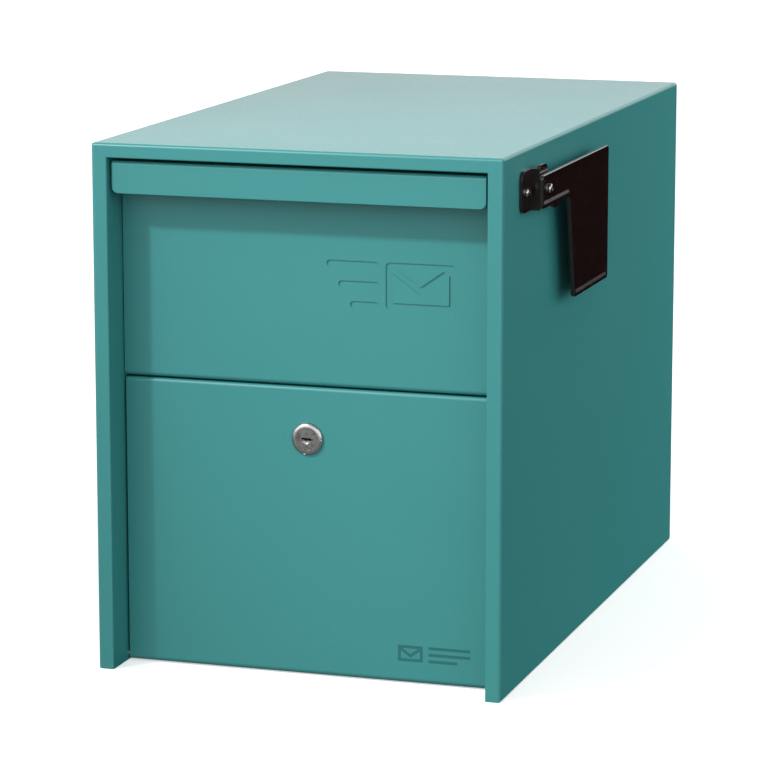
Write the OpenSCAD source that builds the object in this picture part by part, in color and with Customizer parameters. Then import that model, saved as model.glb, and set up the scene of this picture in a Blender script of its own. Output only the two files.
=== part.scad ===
// Locking post box in folded sheet steel: a deep casing with a tip-out hopper door over a
// key-locked lower door, a hat-section mounting plate under the floor and a signal flag.
// Millimetres. +Z is up, the doors face -Y, and the flag is on the +X side.
// The origin is the middle of the four mounting holes, in the plane that the box stands on.

/* [Casing] */
// Overall width across the side walls
casing_w = 286; // [238:1:344]
// Overall depth from the front frame to the back edge
casing_d = 488; // [406:1:586]
// Overall height
casing_h = 362; // [301:1:435]
// Thickness of the casing and floor sheet
sheet_t = 1.6; // [1.2:0.1:2]
// Outside radius of the casing's folds
fold_r = 2.5; // [2:0.5:6]
// Radius on the cut edge of the front opening
rim_r = 0.9; // [0.5:0.1:1.4]
// Radius on the bottom corners of the side walls
foot_r = 2; // [0.5:0.5:4]
// Width of the front frame's legs
leg_w = 11; // [9:0.5:14]
// Height of the front frame's top bar
bar_h = 9.9; // [8:0.1:14]
// Depth of the box pillar folded behind each leg
pillar_d = 66; // [50:1:80]
// Depth of the return folded behind the top bar
bar_d = 22; // [12:1:22]
// Distance from the front frame back to the faces of the doors
recess = 26; // [25:0.5:34]

/* [Floor and mounting plate] */
// Height of the floor's underside
floor_rise = 10; // [10:0.5:14]
// Thickness of the mounting plate
plate_t = 2.5; // [2:0.5:3]
// Width of the mounting plate's web
plate_web_w = 110; // [100:1:130]
// Length of the mounting plate
plate_l = 340; // [280:1:360]
// Width of each lip on the mounting plate
plate_lip_w = 26; // [22:1:30]
// Spacing of the post holes across the box
post_hole_dx = 76; // [60:1:80]
// Spacing of the post holes along the box
post_hole_dy = 240; // [180:1:260]
// Diameter of the post holes
post_hole_d = 8.2; // [6:0.2:9]
// Diameter of the socket access holes in the floor
access_d = 22; // [18:1:24]

/* [Doors] */
// Thickness of the door sheet
door_t = 1.6; // [1.2:0.1:2]
// Height of the lower door's top edge
split_z = 199.5; // [165:0.5:225]
// Gap between the two doors
split_gap = 1.2; // [1:0.1:3]
// Gap under the lower door
foot_gap = 0.8; // [0.8:0.1:3]
// Gap at each side of the hopper door
hopper_side_gap = 0.8; // [0.6:0.1:2]
// Gap at each side of the lower door
lower_side_gap = 1.6; // [1:0.1:3]
// Depth of the lower door's edge flanges
door_flange_d = 10; // [8:0.5:11]
// Depth of the stiffening pan behind the lower door
pan_d = 12; // [11.8:0.1:12.2]

/* [Hopper lip and pictogram] */
// Height of the lip
lip_h = 21.6; // [16:0.1:26]
// Distance from the front frame back to the lip's face
lip_set = 4; // [3:0.5:8]
// Gap between the lip and the top bar
lip_gap = 2.4; // [1.8:0.1:6]
// Radius of the lip's bottom corners
lip_corner_r = 4.5; // [2:0.5:9]
// Distance from the door's middle to the pictogram's middle
pictogram_x = 58.5; // [45:0.5:60]
// Width of the pictogram
pictogram_w = 89.5; // [70:0.5:90]
// Height of the pictogram
pictogram_h = 31.5; // [24:0.5:32]
// Width of the pictogram's pressed lines
stroke_w = 4.5; // [3:0.5:5]
// Depth of the pressed lines
press_depth = 0.8; // [0.4:0.1:1]

/* [Hopper tray] */
// Thickness of the tray sheet
tray_t = 1.2; // [1:0.1:1.6]
// Slope of the tray floor, down towards the back
tray_slope = 12; // [10:1:14]
// Clearance between the tray's swing and the top bar
tray_clear = 11; // [8:1:20]

/* [Hinges] */
// Diameter of the hopper's hinge rod
hopper_rod_d = 3; // [2.5:0.1:4]
// Diameter of the lower door's hinge rod
door_rod_d = 4; // [3:0.1:5]
// Radial clearance of a rod in its rolled hem
rod_clear = 0.06; // [0.04:0.01:0.1]

/* [Lock] */
// Height of the lock's centre
lock_z = 164.4; // [120:0.1:165.6]
// Diameter of the bezel
bezel_d = 22.3; // [21:0.1:26]
// Height of the bezel above the door
bezel_h = 2.6; // [1.5:0.1:4]
// Diameter of the threaded barrel
barrel_d = 19; // [18:0.1:20]
// Diameter of the turning plug
plug_d = 14.8; // [12:0.1:15]
// Length of the cam from the plug's centre
cam_l = 26; // [22:0.5:27]
// Width of the cam
cam_w = 14; // [12:0.5:16]
// Thickness of the cam
cam_t = 2.5; // [2:0.1:2.6]

/* [Flag] */
// Distance from the front frame back to the flag's pivot
flag_pivot_from_front = 70.5; // [66:0.5:140]
// Distance from the top down to the flag's pivot
flag_pivot_from_top = 28; // [26:0.5:60]
// Length of the arm in front of the pivot
flag_tail = 19.5; // [16:0.5:23]
// Length from the pivot to the blade's rear edge
flag_reach = 156; // [110:1:190]
// Height of the arm
flag_arm_h = 22; // [18:0.5:28]
// Distance from the pivot back to the blade
flag_neck = 50; // [40:1:60]
// Distance from the pivot down to the blade's end
flag_drop = 83; // [60:1:120]
// Distance by which the blade narrows towards its end
flag_taper = 16; // [0:1:20]
// Thickness of the flag
flag_t = 3; // [2.5:0.1:4]
// Width of the raised rim round the flag
flag_rim_w = 3.5; // [2:0.5:5]
// Depth of the panel inside the rim
flag_panel_depth = 1; // [0.6:0.1:1.4]

/* [Hidden] */

$fn = 48;
over = 1;                       // how far a cut runs past the face that it opens
seat = 0.1;                     // gap between two sheets that are welded or bolted together
paint = [0.27, 0.56, 0.55];
plated = [0.75, 0.75, 0.77];
dark_plastic = [0.12, 0.05, 0.05];
rubber = [0.08, 0.08, 0.08];
bright_steel = [0.82, 0.82, 0.84];

half_w = casing_w / 2;
front_y = -casing_d / 2;
back_y = casing_d / 2;
open_half_w = half_w - leg_w;
bar_z = casing_h - bar_h;
pillar_back_y = front_y + pillar_d;
face_y = front_y + recess;
door_back_y = face_y + door_t;

// Back panel: a pan set into the back edge, its flanges turned outwards
back_inset = 14;
back_flange_t = 1.6;
back_fit = 0.15;                // gap between the pan's flanges and the casing walls
back_plate_y = back_y - back_inset;

// Floor
floor_top_z = floor_rise + sheet_t;
floor_side_gap = 0.2;

// Hinges: each hem is rolled round its rod, in line with the door's face and its bottom edge
hopper_z0 = split_z + split_gap;
hopper_hem_r = hopper_rod_d / 2 + rod_clear + door_t;
hopper_axis = [face_y + hopper_hem_r, hopper_z0 + hopper_hem_r];
door_hem_r = door_rod_d / 2 + rod_clear + door_t;
door_axis = [face_y + door_hem_r, foot_gap + door_hem_r];
hem_floor_gap = 1.2;
floor_front_y = door_axis[0] + door_hem_r + hem_floor_gap;
rod_hole_clear = 0.1;
rod_end_gap = 1.2;              // gap between a rod's end and the side wall
cap_r = 3.2;
cap_t = 2;

// Hopper door
hopper_half_w = open_half_w - hopper_side_gap;
lip_top_z = bar_z - lip_gap;
lip_face_y = front_y + lip_set;
lip_half_w = hopper_half_w - 1.3;
bend_r = 2.4;
tray_reach = bar_z - hopper_axis[1] - tray_clear;
tray_half_w = hopper_half_w - 1.2;
tray_lift = hopper_hem_r + 0.15;    // the tray floor passes just over the rolled hem
pictogram_rise = 6.6;                 // its middle lies this far above the middle of the panel
pictogram_z = (hopper_z0 + lip_top_z - lip_h) / 2 + pictogram_rise;
tray_fold_z = hopper_axis[1] + tray_lift + tray_t / 2;
tray_flange_h = 0.4 * (pictogram_z - pictogram_h / 2 - tray_fold_z);

// Lower door
lower_half_w = open_half_w - lower_side_gap;
flange_z0 = floor_top_z + 2;
pan_half_w = lower_half_w - 12.7;
pan_z0 = 20;
pan_back_y = door_back_y + pan_d;
pan_top_gap = 4;                // gap between the pan and the crossbar above it

// Crossbar: an angle with a front web, a top flange and an end tab on each pillar
crossbar_z1 = split_z - 4;
crossbar_h = 18;
crossbar_z0 = crossbar_z1 - crossbar_h;
crossbar_y = pan_back_y - 0.4;
crossbar_d = 24;
crossbar_half_w = open_half_w - seat;
pan_z1 = crossbar_z0 - pan_top_gap;
rivet_r = 2;
rivet_head_r = 3.6;
rivet_head_h = 1.3;
rivet_y = crossbar_y + 13;
rivet_dz = 8;

// Lock
lock_bore_clear = 0.05;
plug_set = 0.4;                 // distance from the bezel's face back to the plug's face
housing_end_y = door_back_y + pan_d + 2.3;
cam_y = housing_end_y + 0.5;
cam_hub_r = cam_w / 2;
cam_square = 6;
nut_af = 24;
nut_t = 4;
nut_window_d = 34;

// Flag and its bracket
flag_y = front_y + flag_pivot_from_front;
flag_z = casing_h - flag_pivot_from_top;
bracket_t = 2.2;
bracket_stand = 6;              // gap between the side wall and the bracket's pivot plate
bracket_h = 27.7;
leaf_front = 34;                // distance from the pivot forward to the leaf's edge
leaf_back = 10.6;               // distance from the pivot forward to the web
leaf_screw = 22.4;
plate_x0 = half_w + bracket_stand;
plate_x1 = plate_x0 + bracket_t;
washer_t = 1;
flag_x0 = plate_x1 + washer_t + seat;
flag_x1 = flag_x0 + flag_t;
shoulder_r = 2.5;
shoulder_clear = 0.05;
screw_r = 2;
screw_head_r = 3.5;
screw_head_h = 2;
flag_corner_r = 3;
flag_points = [
    [-flag_tail, -flag_arm_h / 2],
    [flag_neck, -flag_arm_h / 2],
    [flag_neck + flag_taper, -flag_drop],
    [flag_reach, -flag_drop],
    [flag_reach, flag_arm_h / 2],
    [-flag_tail, flag_arm_h / 2]
];

// Drawing planes: a profile in Y and Z across X, in X and Z along Y, or in X and Y along Z
module across_x(x0, x1) {
    translate([x0, 0, 0]) rotate([90, 0, 90]) linear_extrude(x1 - x0) children();
}

module along_y(y0, y1) {
    translate([0, y1, 0]) rotate([90, 0, 0]) linear_extrude(y1 - y0) children();
}

module up_z(z0, z1) {
    translate([0, 0, z0]) linear_extrude(z1 - z0) children();
}

module block(low, high) {
    translate(low) cube(high - low);
}

module rod_x(r, x0, x1, y, z) {
    translate([x0, y, z]) rotate([0, 90, 0]) cylinder(h = x1 - x0, r = r);
}

module rod_y(r, y0, y1, x, z) {
    translate([x, y1, z]) rotate([90, 0, 0]) cylinder(h = y1 - y0, r = r);
}

module rod_z(r, z0, z1, x, y) {
    translate([x, y, z0]) cylinder(h = z1 - z0, r = r);
}

// What is left outside a round corner; dx and dy point from the corner into the sheet
module corner_waste(x, y, dx, dy, r) {
    difference() {
        translate([dx > 0 ? x - over : x - r, dy > 0 ? y - over : y - r]) square(r + over);
        translate([x + dx * r, y + dy * r]) circle(r);
    }
}

// A rectangle with its own radius at each corner, counted from the low corner anticlockwise
module round_rect(x0, y0, x1, y1, radii) {
    difference() {
        translate([x0, y0]) square([x1 - x0, y1 - y0]);
        if (radii[0] > 0) corner_waste(x0, y0, 1, 1, radii[0]);
        if (radii[1] > 0) corner_waste(x1, y0, -1, 1, radii[1]);
        if (radii[2] > 0) corner_waste(x1, y1, -1, -1, radii[2]);
        if (radii[3] > 0) corner_waste(x0, y1, 1, -1, radii[3]);
    }
}

module both_sides() {
    children();
    mirror([1, 0, 0]) children();
}

// A closed outline drawn anticlockwise, moved inwards by a distance
function unit(v) = v / norm(v);
function left_of(v) = [-v[1], v[0]];
function inset(pts, d) = let (n = len(pts)) [
    for (i = [0 : n - 1])
        let (
            a = left_of(unit(pts[i] - pts[(i + n - 1) % n])),
            b = left_of(unit(pts[(i + 1) % n] - pts[i]))
        )
        pts[i] + d * (a + b) / (1 + a * b)
];

// The same outline with each corner turned into an arc
function turn(u, v) = atan2(u[0] * v[1] - u[1] * v[0], u * v);
function rounded(pts, r, steps) = let (n = len(pts)) [
    for (i = [0 : n - 1])
        let (
            u = unit(pts[i] - pts[(i + n - 1) % n]),
            v = unit(pts[(i + 1) % n] - pts[i]),
            bend = turn(u, v),
            side = sign(bend),
            start = pts[i] - u * r * tan(abs(bend) / 2),
            centre = start + left_of(u) * side * r
        )
        for (k = [0 : steps])
            let (a = bend * k / steps, arm = -left_of(u) * side * r)
            centre + [arm[0] * cos(a) - arm[1] * sin(a), arm[0] * sin(a) + arm[1] * cos(a)]
];

// ---- Casing ----

module casing_block() {
    intersection() {
        along_y(front_y, back_y)
            round_rect(-half_w, 0, half_w, casing_h, [foot_r, foot_r, fold_r, fold_r]);
        up_z(0, casing_h)
            round_rect(-half_w, front_y, half_w, back_y, [fold_r, fold_r, 0, 0]);
        across_x(-half_w, half_w)
            round_rect(front_y, 0, back_y, casing_h, [0, 0, 0, fold_r]);
    }
}

// The two sides and the top, folded from one sheet
module wrap() {
    inner_r = fold_r - sheet_t;
    inner_half_w = half_w - sheet_t;
    along_y(front_y, back_y) difference() {
        translate([-half_w, 0]) square([casing_w, casing_h]);
        round_rect(-inner_half_w, -over, inner_half_w, casing_h - sheet_t,
            [0, 0, inner_r, inner_r]);
    }
}

// Front leg, return wall and rear flange, which close into a box along the side wall
module pillar() {
    difference() {
        block([open_half_w, front_y, 0], [half_w, pillar_back_y, casing_h]);
        block([open_half_w + sheet_t, front_y + sheet_t, -over],
            [half_w - sheet_t, pillar_back_y - sheet_t, casing_h - sheet_t]);
    }
}

// Top bar and the return folded under it
module header() {
    block([-half_w, front_y, bar_z], [half_w, front_y + sheet_t, casing_h]);
    block([-open_half_w, front_y, bar_z], [open_half_w, front_y + bar_d, bar_z + sheet_t]);
}

// The front opening's edge is a bend, so its corner is round
module rim_waste() {
    both_sides() up_z(-over, bar_z)
        corner_waste(open_half_w, front_y, 1, 1, rim_r);
    across_x(-open_half_w, open_half_w)
        corner_waste(front_y, bar_z, 1, 1, rim_r);
}

module rod_holes(axis, rod_d) {
    both_sides()
        rod_x(rod_d / 2 + rod_hole_clear, open_half_w - over, open_half_w + sheet_t + over,
            axis[0], axis[1]);
}

module rivet_places() {
    for (z = [-rivet_dz / 2, rivet_dz / 2])
        translate([0, rivet_y, (crossbar_z0 + crossbar_z1) / 2 + z]) children();
}

module casing_shell() {
    color(paint) difference() {
        intersection() {
            casing_block();
            union() {
                wrap();
                both_sides() pillar();
                header();
            }
        }
        rim_waste();
        rod_holes(hopper_axis, hopper_rod_d);
        rod_holes(door_axis, door_rod_d);
        both_sides() rivet_places()
            rod_x(rivet_r + seat, open_half_w - over, open_half_w + sheet_t + over, 0, 0);
        rod_x(screw_r + seat, half_w - sheet_t - over, half_w + over,
            flag_y - leaf_screw, flag_z);
    }
}

// Back panel, a pan with its flanges turned back, welded inside the casing
module back_panel() {
    pan_w = half_w - sheet_t - back_fit;
    pan_z = casing_h - sheet_t - back_fit;
    color(paint) difference() {
        along_y(back_plate_y, back_y)
            round_rect(-pan_w, 0, pan_w, pan_z, [0, 0, fold_r, fold_r]);
        along_y(back_plate_y + back_flange_t, back_y + over)
            round_rect(-pan_w + back_flange_t, back_flange_t, pan_w - back_flange_t,
                pan_z - back_flange_t, [bend_r, bend_r, bend_r, bend_r]);
    }
}

// ---- Floor and mounting plate ----

// Floor outline: narrow between the pillars, full width behind them
module floor_outline(shrink) {
    side = half_w - sheet_t - floor_side_gap - shrink;
    neck = open_half_w - floor_side_gap - shrink;
    translate([-neck, floor_front_y + shrink])
        square([2 * neck, pillar_back_y - floor_front_y + over]);
    translate([-side, pillar_back_y + floor_side_gap + shrink])
        square([2 * side, back_plate_y - pillar_back_y - 2 * floor_side_gap - 2 * shrink]);
}

module post_hole_places() {
    for (x = [-post_hole_dx / 2, post_hole_dx / 2])
        for (y = [-post_hole_dy / 2, post_hole_dy / 2])
            translate([x, y, 0]) children();
}

plate_bolt_x = plate_web_w / 2 + plate_lip_w / 2;
plate_bolt_y = plate_l / 2 - 30;
plate_bolt_r = 3;
plate_bolt_hole_r = 3.3;
washer_r = 6.5;
washer_plate_t = 1.4;

module plate_bolt_places() {
    for (x = [-plate_bolt_x, plate_bolt_x])
        for (y = [-plate_bolt_y, plate_bolt_y])
            translate([x, y, 0]) children();
}

module floor_pan() {
    color(paint) difference() {
        up_z(0, floor_top_z) floor_outline(0);
        up_z(-over, floor_rise) floor_outline(sheet_t);
        post_hole_places() rod_z(access_d / 2, floor_rise - over, floor_top_z + over, 0, 0);
        plate_bolt_places() rod_z(plate_bolt_hole_r, floor_rise - over, floor_top_z + over, 0, 0);
    }
}

// Hat section: the web lies on the post and the lips are bolted up to the floor
module mounting_plate() {
    web = plate_web_w / 2;
    lip = web + plate_lip_w;
    color(plated) difference() {
        along_y(-plate_l / 2, plate_l / 2) difference() {
            translate([-lip, 0]) square([2 * lip, floor_rise]);
            translate([plate_t - web, plate_t]) square([2 * (web - plate_t), floor_rise]);
            both_sides() translate([web, -over])
                square([plate_lip_w + over, floor_rise - plate_t + over]);
        }
        post_hole_places() rod_z(post_hole_d / 2, -over, plate_t + over, 0, 0);
        plate_bolt_places()
            rod_z(plate_bolt_hole_r, floor_rise - plate_t - over, floor_rise + over, 0, 0);
    }
}

bolt_head_h = 4;
bolt_head_af = 10;
plate_nut_t = 4.2;

module plate_bolts() {
    shank_z = floor_rise - plate_t - plate_nut_t - 1.5;
    head_z = floor_top_z + washer_plate_t;
    color(plated) plate_bolt_places() {
        rod_z(plate_bolt_r, shank_z, head_z + over, 0, 0);
        translate([0, 0, head_z])
            cylinder(h = bolt_head_h, r = bolt_head_af / 2 / cos(30), $fn = 6);
    }
}

module plate_washers() {
    color(plated) plate_bolt_places() difference() {
        rod_z(washer_r, floor_top_z, floor_top_z + washer_plate_t, 0, 0);
        rod_z(plate_bolt_hole_r, floor_top_z - over, floor_top_z + 2 * over + washer_plate_t, 0, 0);
    }
}

module plate_nuts() {
    nut_z = floor_rise - plate_t - plate_nut_t;
    color(plated) plate_bolt_places() difference() {
        translate([0, 0, nut_z])
            cylinder(h = plate_nut_t, r = bolt_head_af / 2 / cos(30), $fn = 6);
        rod_z(plate_bolt_r + rod_hole_clear, nut_z - over, nut_z + plate_nut_t + over, 0, 0);
    }
}

// ---- Crossbar and baffle ----

module crossbar() {
    tab_x = crossbar_half_w - sheet_t;
    color(paint) difference() {
        union() {
            block([-crossbar_half_w, crossbar_y, crossbar_z0],
                [crossbar_half_w, crossbar_y + sheet_t, crossbar_z1]);
            block([-crossbar_half_w, crossbar_y, crossbar_z1 - sheet_t],
                [crossbar_half_w, crossbar_y + crossbar_d, crossbar_z1]);
            both_sides() block([tab_x, crossbar_y, crossbar_z0],
                [crossbar_half_w, crossbar_y + crossbar_d, crossbar_z1]);
        }
        both_sides() rivet_places()
            rod_x(rivet_r + seat, tab_x - over, crossbar_half_w + over, 0, 0);
    }
}

module crossbar_rivets() {
    x0 = crossbar_half_w - sheet_t;
    x1 = open_half_w + sheet_t;
    color(plated) both_sides() rivet_places() {
        rod_x(rivet_r, x0 - rivet_head_h, x1 + rivet_head_h, 0, 0);
        translate([x0 - rivet_head_h, 0, 0]) rotate([0, 90, 0])
            cylinder(h = rivet_head_h, r1 = rivet_head_r - 1, r2 = rivet_head_r);
        translate([x1, 0, 0]) rotate([0, 90, 0])
            cylinder(h = rivet_head_h, r1 = rivet_head_r, r2 = rivet_head_r - 1);
    }
}

// Fixed baffle that hangs from the top just outside the tray's swing
baffle_gap = 4;
baffle_from_axis = 0.82 * tray_reach;
baffle_flange_d = 18;

module top_baffle() {
    swing = tray_reach + tray_lift + baffle_gap;
    y0 = hopper_axis[0] + baffle_from_axis;
    z0 = hopper_axis[1] + sqrt(swing * swing - baffle_from_axis * baffle_from_axis);
    z1 = casing_h - sheet_t - seat;
    baffle_half_w = half_w - sheet_t - 2;
    color(paint) {
        block([-baffle_half_w, y0, z0], [baffle_half_w, y0 + tray_t, z1]);
        block([-baffle_half_w, y0, z1 - tray_t],
            [baffle_half_w, y0 + baffle_flange_d, z1]);
        block([-baffle_half_w, y0, z0],
            [baffle_half_w, y0 + baffle_flange_d / 2, z0 + tray_t]);
    }
}

// ---- Rubber bumpers ----

bumper_r = 5;
bumper_gap = 0.3;
bumper_x = open_half_w - 25;

module door_bumpers() {
    z = (crossbar_z0 + crossbar_z1) / 2;
    color(rubber) both_sides()
        rod_y(bumper_r, door_back_y + bumper_gap, crossbar_y, bumper_x, z);
}

// The tray floor slopes, so these stop below its lowest point over the bumper
function tray_under_z(y) =
    hopper_axis[1] + tray_lift / cos(tray_slope) - (y - hopper_axis[0]) * tan(tray_slope);

module hopper_bumpers() {
    y = crossbar_y + crossbar_d - bumper_r - 3;
    color(rubber) both_sides()
        rod_z(bumper_r, crossbar_z1, tray_under_z(y + bumper_r) - bumper_gap, bumper_x, y);
}

// ---- Hinge rods ----

module hinge_rod(axis, rod_d) {
    end_x = half_w - sheet_t - rod_end_gap;
    color(plated) rod_x(rod_d / 2, -end_x, end_x, axis[0], axis[1]);
}

module hopper_hinge_rod() { hinge_rod(hopper_axis, hopper_rod_d); }

module door_hinge_rod() { hinge_rod(door_axis, door_rod_d); }

module rod_cap(axis, rod_d) {
    cap_x = open_half_w + sheet_t + seat;
    difference() {
        rod_x(cap_r, cap_x, cap_x + cap_t, axis[0], axis[1]);
        rod_x(rod_d / 2 + rod_hole_clear / 2, cap_x - over, cap_x + cap_t + over,
            axis[0], axis[1]);
    }
}

module rod_caps() {
    color(plated) both_sides() {
        rod_cap(hopper_axis, hopper_rod_d);
        rod_cap(door_axis, door_rod_d);
    }
}

// ---- Hopper door ----

// The rolled hem along a door's bottom edge, with the sheet rising from its front
module hem(axis, r, x) {
    across_x(-x, x) difference() {
        union() {
            translate(axis) circle(r);
            translate([axis[0] - r, axis[1]]) square([door_t, r + over]);
        }
        translate(axis) circle(r - door_t);
    }
}

// A letter on the move: three trailing strokes and an envelope
module pictogram(grow) {
    w = stroke_w + 2 * grow;
    envelope_w = pictogram_w * 0.54;
    right = pictogram_x + pictogram_w / 2;
    left = right - envelope_w;
    bottom = pictogram_z - pictogram_h / 2;
    top = pictogram_z + pictogram_h / 2;
    s = stroke_w;
    difference() {
        round_rect(left - grow, bottom - grow, right + grow, top + grow, [3, 3, 3, 3]);
        round_rect(left + s + grow, bottom + s + grow, right - s - grow, top - s - grow,
            [1, 1, 1, 1]);
    }
    flap_x = (left + right) / 2;
    flap_z = pictogram_z - pictogram_h * 0.08;
    for (x = [left + s, right - s]) stroke_2d([x, top - s], [flap_x, flap_z], w);
    gap = (pictogram_w - envelope_w) / 5;
    stroke_left = pictogram_x - pictogram_w / 2;
    for (k = [0 : 2])
        stroke_2d([stroke_left + s / 2 + k * gap, top - s / 2 - k * (pictogram_h - s) / 2],
            [left - s * 1.6, top - s / 2 - k * (pictogram_h - s) / 2], w);
}

// A straight line of a given width with round ends
module stroke_2d(a, b, w) {
    run = b - a;
    translate(a) rotate(atan2(run[1], run[0])) translate([0, -w / 2]) square([norm(run), w]);
    translate(a) circle(w / 2);
    translate(b) circle(w / 2);
}

module hopper_door() {
    z1 = lip_top_z;
    color(paint) difference() {
        union() {
            hem(hopper_axis, hopper_hem_r, hopper_half_w);
            block([-hopper_half_w, face_y, hopper_axis[1]],
                [hopper_half_w, door_back_y, z1 - bend_r]);
            // top bend, shelf and lip, as one folded channel
            across_x(-lip_half_w, lip_half_w) difference() {
                round_rect(lip_face_y, z1 - lip_h, door_back_y, z1, [0, 0, bend_r, bend_r]);
                round_rect(lip_face_y + door_t, z1 - lip_h - over, face_y, z1 - door_t,
                    [0, 0, bend_r - door_t, bend_r - door_t]);
            }
            // the raised back of the pressed lines
            along_y(door_back_y - over / 2, door_back_y + press_depth) pictogram(door_t / 2);
        }
        along_y(face_y - over, face_y + press_depth) pictogram(0);
        both_sides() along_y(lip_face_y - over, lip_face_y + door_t + over)
            corner_waste(lip_half_w, z1 - lip_h, -1, 1, lip_corner_r);
    }
}

// Side view of a cheek: what the swing leaves above the tray floor and behind the door
module cheek() {
    intersection() {
        translate(hopper_axis) circle(tray_reach, $fn = 96);
        translate(hopper_axis) rotate(-tray_slope)
            translate([-tray_reach, tray_lift]) square([2 * tray_reach, 2 * tray_reach]);
        translate([door_back_y, hopper_z0]) square([2 * tray_reach, lip_top_z - bend_r - hopper_z0]);
    }
}

// Tray floor with a cheek folded up at each side and a flange welded to the door
module hopper_tray() {
    color(paint) {
        both_sides() across_x(tray_half_w - tray_t, tray_half_w) cheek();
        intersection() {
            union() {
                translate([0, hopper_axis[0], hopper_axis[1]]) rotate([-tray_slope, 0, 0])
                    block([-tray_half_w, -tray_lift, tray_lift],
                        [tray_half_w, tray_reach - tray_t, tray_lift + tray_t]);
                block([-tray_half_w, door_back_y, tray_fold_z],
                    [tray_half_w, door_back_y + tray_t, tray_fold_z + tray_flange_h]);
            }
            block([-half_w, door_back_y, 0], [half_w, back_y, casing_h]);
        }
    }
}

// Spring clip for outgoing letters, welded to the tray's flange
clip_w = 42;
clip_t = 0.8;
clip_foot_h = 12;
clip_rise = 58;
clip_bow = 7;

module mail_clip() {
    y = door_back_y + tray_t + seat;
    z = hopper_axis[1] + tray_lift + tray_t + 5;
    bow_z = z + clip_foot_h + clip_bow;
    color(bright_steel) across_x(-clip_w / 2, clip_w / 2) polygon([
        [y, z], [y + clip_t, z], [y + clip_t, z + clip_foot_h],
        [y + clip_bow + clip_t, bow_z], [y + clip_t, z + clip_rise],
        [y + clip_bow / 2 + clip_t, z + clip_rise + clip_bow],
        [y + clip_bow / 2, z + clip_rise + clip_bow],
        [y, z + clip_rise], [y + clip_bow, bow_z], [y, z + clip_foot_h]
    ]);
}

// ---- Lower door ----

module lower_door() {
    rim_x = lower_half_w - door_t;
    color(paint) difference() {
        union() {
            hem(door_axis, door_hem_r, lower_half_w);
            block([-lower_half_w, face_y, door_axis[1]],
                [lower_half_w, door_back_y, split_z - bend_r]);
            // top bend and flange
            across_x(-lower_half_w, lower_half_w) difference() {
                round_rect(face_y, split_z - bend_r - over, door_back_y + door_flange_d, split_z,
                    [0, 0, 0, bend_r]);
                round_rect(door_back_y, split_z - bend_r - 2 * over,
                    door_back_y + door_flange_d + over, split_z - door_t,
                    [0, 0, 0, bend_r - door_t]);
            }
            both_sides() block([rim_x, face_y, flange_z0],
                [lower_half_w, door_back_y + door_flange_d, split_z - door_t / 2]);
        }
        rod_y(barrel_d / 2 + seat, face_y - over, door_back_y + over, 0, lock_z);
    }
}

// Stiffening pan welded to the back of the lower door, with a window round the lock nut
module stiffening_pan() {
    color(paint) difference() {
        along_y(door_back_y, pan_back_y)
            round_rect(-pan_half_w, pan_z0, pan_half_w, pan_z1, [4, 4, 4, 4]);
        along_y(door_back_y - over, pan_back_y - door_t)
            round_rect(-pan_half_w + door_t, pan_z0 + door_t, pan_half_w - door_t,
                pan_z1 - door_t, [3, 3, 3, 3]);
        rod_y(nut_window_d / 2, pan_back_y - door_t - over, pan_back_y + over, 0, lock_z);
        block([-nut_window_d / 2, pan_back_y - door_t - over, lock_z],
            [nut_window_d / 2, pan_back_y + over, pan_z1 + over]);
        block([-nut_window_d / 2, door_back_y - over, pan_z1 - door_t - over],
            [nut_window_d / 2, pan_back_y + over, pan_z1 + over]);
    }
}

// ---- Lock ----

module lock_housing() {
    bore_r = plug_d / 2 + lock_bore_clear;
    color(bright_steel) difference() {
        union() {
            rod_y(barrel_d / 2, face_y - over / 2, housing_end_y, 0, lock_z);
            translate([0, face_y, lock_z]) rotate([90, 0, 0])
                cylinder(h = bezel_h, r1 = bezel_d / 2, r2 = bezel_d / 2 - bezel_h * 0.9);
        }
        rod_y(bore_r, face_y - bezel_h - over, housing_end_y + over, 0, lock_z);
    }
}

module lock_nut() {
    color(plated) difference() {
        translate([0, door_back_y + nut_t, lock_z]) rotate([90, 0, 0])
            cylinder(h = nut_t, r = nut_af / 2 / cos(30), $fn = 6);
        rod_y(barrel_d / 2 + rod_hole_clear, door_back_y - over, door_back_y + nut_t + over,
            0, lock_z);
    }
}

key_w = 7;
key_h = 1.8;
key_depth = 9;
cam_screw_r = 1.9;
cam_screw_l = 8;
cam_play = 0.1;

module lock_plug() {
    front = face_y - bezel_h + plug_set;
    body_end = housing_end_y + 0.2;
    square_end = cam_y + cam_t;
    color(bright_steel) difference() {
        union() {
            rod_y(plug_d / 2, front, body_end, 0, lock_z);
            block([-cam_square / 2, body_end - over, lock_z - cam_square / 2],
                [cam_square / 2, square_end, lock_z + cam_square / 2]);
        }
        block([-key_w / 2, front - over, lock_z - key_h / 2],
            [key_w / 2, front + key_depth, lock_z + key_h / 2]);
        rod_y(cam_screw_r + seat, square_end - cam_screw_l, square_end + over, 0, lock_z);
    }
}

// The cam points along -X when the lock is open and stands up behind the crossbar when locked
module lock_cam() {
    hole = cam_square / 2 + cam_play;
    color(plated) difference() {
        union() {
            rod_y(cam_hub_r, cam_y, cam_y + cam_t, 0, lock_z);
            along_y(cam_y, cam_y + cam_t)
                round_rect(-cam_l, lock_z - cam_w / 2, 0, lock_z + cam_w / 2, [3, 0, 0, 3]);
        }
        block([-hole, cam_y - over, lock_z - hole], [hole, cam_y + cam_t + over, lock_z + hole]);
    }
}

cam_screw_head_r = 4.2;
cam_screw_head_h = 2.4;

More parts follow.
